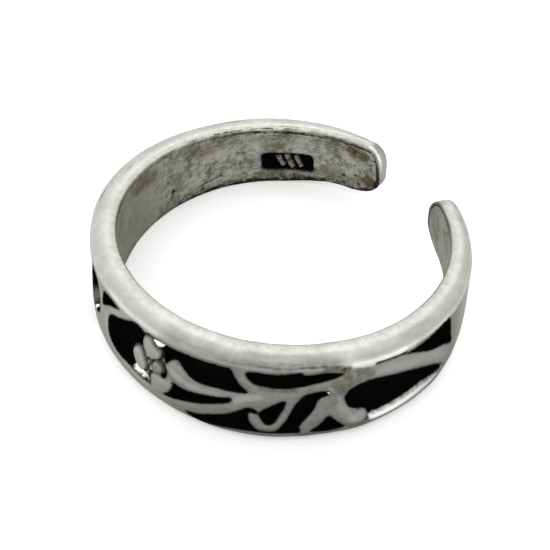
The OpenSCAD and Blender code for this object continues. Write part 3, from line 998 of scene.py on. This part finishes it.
def creaseTarnishAndShade(n, metal):
    # dark line in the crease under the rim, with a haze round it: partly tarnish, partly painted
    # shade
    fallen = n.plus(n.value("fallen"), n.ramp(n.cloud, 0.3, 0.7, -0.03, 0.03))
    haze = n.line(fallen, band["creaseFall"] - 0.1, silverLook["creaseHaze"])
    line = n.line(fallen, band["creaseFall"], silverLook["creaseLine"])
    line = n.times(line, n.ramp(n.turn, 26, 50, 0.55, 1.0))
    crease = n.times(n.largest(line, n.times(haze, 0.5)),
                     n.ramp(n.turn, 12, 18), n.ramp(n.turn, 70, 65),
                     n.ramp(n.streak, 0.38, 0.6, 0.6, 0.95), n.ramp(n.turn, 22, 40, 0.7, 1.0))
    colour = n.mix(n.ramp(n.mottle, 0.42, 0.66), "crease", "shaded")
    return n.mix(crease, metal, colour)


def addFlecks(n, metal):
    radius = band["patternRadius"]
    arc = n.times(n.turn, math.radians(1) * radius)
    outside = n.minus(1.0, n.inside)
    rough = n.times(n.minus(n.grain, 0.5), 1.6)
    for marks, up, within in ((wallFlecks, n.chartHeight, n.inside), (rimFlecks, n.lip, outside)):
        for fleck in marks:
            spot = n.add("ShaderNodeCombineXYZ", X=arc, Y=up)
            centre = (math.radians(fleck["turn"]) * radius, fleck["up"], 0)
            tilt = (0, 0, math.radians(fleck["tilt"]))
            turned = n.add("ShaderNodeMapping", Vector=spot.outputs[0], Location=centre,
                           Rotation=tilt, Scale=(fleck["long"], fleck["wide"], 1))
            turned.vector_type = "TEXTURE"
            size = n.add("ShaderNodeVectorMath", Vector=turned.outputs[0])
            size.operation = "LENGTH"
            mark = n.ramp(n.plus(size.outputs["Value"], rough), 1.15, 0.7, 0.0, fleck["strength"])
            metal = n.mix(n.times(mark, within), metal, "line")
    return metal


def makeSilver():
    n = Nodes("oxidisedSilver")
    readPatterns(n)
    innerColour, innerPattern, dots = innerMetal(n)
    darkLines = darkEdgeLines(n)
    metal = n.mix(n.inside, outerMetal(n), innerColour)
    metal = leftNose(n, metal, darkLines)
    metal = creaseTarnishAndShade(n, metal)
    # tarnish and painted shade beside the pockets, and dark oxide in the grooves
    beside = n.times(n.ramp(n.soot, -0.13, -0.01), n.ramp(n.mottle, 0.35, 0.6, 0.45, 0.8))
    metal = n.mix(beside, metal, "tarnish")
    metal = n.mix(n.value("groove"), metal, "line")
    metal = addFlecks(n, metal)

    # blackening in the pockets and in the cartouche, with a slightly ragged edge
    black = n.ramp(n.plus(n.soot, n.times(n.minus(n.grain, 0.5), 0.06)), -0.03, 0.02)
    # bare pocket walls, painted near white as a glint
    bareAndGlint = n.times(black, n.value("glint"))
    black = n.minus(black, bareAndGlint, clamp=True)
    metal = n.mix(bareAndGlint, metal, "ledge")
    worn = n.times(n.value("stroke"), n.ramp(n.speck, 0.38, 0.55, 0.35, 1.0))
    colour = n.mix(black, metal, n.mix(worn, "black", "stroke"))

    rough = n.ramp(n.mottle, 0.3, 0.7, silverLook["roughLow"], silverLook["roughHigh"])
    rough = n.plus(rough, n.times(n.inside, "roughInside"))
    rough = n.plus(rough, n.times(black, "roughBlack"), clamp=True)
    n.feed(n.shader, "Base Color", colour)
    n.feed(n.shader, "Metallic", n.minus(1.0, n.minus(black, worn, clamp=True), clamp=True))
    n.feed(n.shader, "Roughness", rough)
    n.feed(n.shader, "Specular IOR Level", 0.0)
    n.feed(n.shader, "Specular Tint", "edgeTint")

    height = n.blend((n.grain, 0.12), (n.mottle, 0.7))
    height = n.plus(height, n.times(innerPattern, n.inside, 2.4))
    height = n.minus(height, n.times(dots, 0.8), n.times(darkLines, 1.2))
    bump = n.add("ShaderNodeBump", Strength="bumpStrength", Distance="bumpDepth", Height=height)
    n.feed(n.shader, "Normal", bump.outputs["Normal"])
    return n.material


studio = {
    "ambient": 1.1,
    "floorSize": 0.6,  # metres
    "floorColour": (0.95, 0.95, 0.95, 1),
    "floorGlow": 0.24,
    "panels": [
        # azimuth and elevation of the panel seen from the ring, distance and size in metres
        {"name": "backPanel", "azimuth": 230, "elevation": 50, "distance": 0.22, "size": 0.18,
         "watts": 0.05},
        {"name": "topPanel", "azimuth": 50, "elevation": 86, "distance": 0.25, "size": 0.26,
         "watts": 0.12},
    ],
}


def makeFloor():
    bm = bmesh.new()
    bmesh.ops.create_grid(bm, x_segments=1, y_segments=1, size=studio["floorSize"])
    mesh = bpy.data.meshes.new("studioFloor")
    bm.to_mesh(mesh)
    bm.free()
    floor = bpy.data.objects.new("studioFloor", mesh)
    bpy.context.scene.collection.objects.link(floor)
    n = Nodes("floorPaper")
    n.feed(n.shader, "Base Color", studio["floorColour"])
    n.feed(n.shader, "Emission Color", (1, 1, 1, 1))
    n.feed(n.shader, "Emission Strength", studio["floorGlow"])
    n.feed(n.shader, "Roughness", 0.9)
    n.feed(n.shader, "Specular IOR Level", 0.1)
    mesh.materials.append(n.material)


def direction(azimuth, elevation):
    # azimuth 0 is in front of the band, on -Y; 90 is on +X
    a, e = math.radians(azimuth), math.radians(elevation)
    return Vector((math.sin(a) * math.cos(e), -math.cos(a) * math.cos(e), math.sin(e)))


def makeStudio():
    world = bpy.data.worlds.new("studio")
    world.use_nodes = True
    background = world.node_tree.nodes["Background"]
    background.inputs["Color"].default_value = (1, 1, 1, 1)
    background.inputs["Strength"].default_value = studio["ambient"]
    bpy.context.scene.world = world
    for panel in studio["panels"]:
        data = bpy.data.lights.new(panel["name"], "AREA")
        data.shape = "SQUARE"
        data.size = panel["size"]
        data.energy = panel["watts"]
        light = bpy.data.objects.new(panel["name"], data)
        toward = direction(panel["azimuth"], panel["elevation"])
        light.location = toward * panel["distance"]
        light.rotation_euler = toward.to_track_quat("Z", "Y").to_euler()
        bpy.context.scene.collection.objects.link(light)
    bpy.context.scene.view_settings.view_transform = "Standard"


photoView = {
    "azimuth": 50.0,
    "elevation": 47.74,
    "roll": 2.52,             # the picture leans to the right by this
    "distance": 93.75,
    "target": (-1.208, 0.589, 0.0),
    "focal": 1995.9,          # in pixels
    "frameWidth": 550,
    "sensor": 36.0,
}


def makeCamera():
    data = bpy.data.cameras.new("photoCamera")
    data.sensor_width = photoView["sensor"]
    data.lens = photoView["focal"] / photoView["frameWidth"] * photoView["sensor"]
    data.clip_start = 0.005
    data.clip_end = 5
    camera = bpy.data.objects.new("photoCamera", data)
    toward = direction(photoView["azimuth"], photoView["elevation"])
    target = Vector(photoView["target"]) * mm
    turned = toward.to_track_quat("Z", "Y").to_matrix().to_4x4()
    roll = Matrix.Rotation(math.radians(photoView["roll"]), 4, "Z")
    place = Matrix.Translation(target + toward * photoView["distance"] * mm)
    camera.matrix_world = place @ turned @ roll
    bpy.context.scene.collection.objects.link(camera)
    bpy.context.scene.camera = camera


bandPiece = buildBand()
bandPiece.data.materials.append(makeSilver())
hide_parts("band")
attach(bandPiece, "root")
print("band: done,", len(bandPiece.data.polygons), "faces")

makeFloor()
makeStudio()
makeCamera()
print("studio: done")
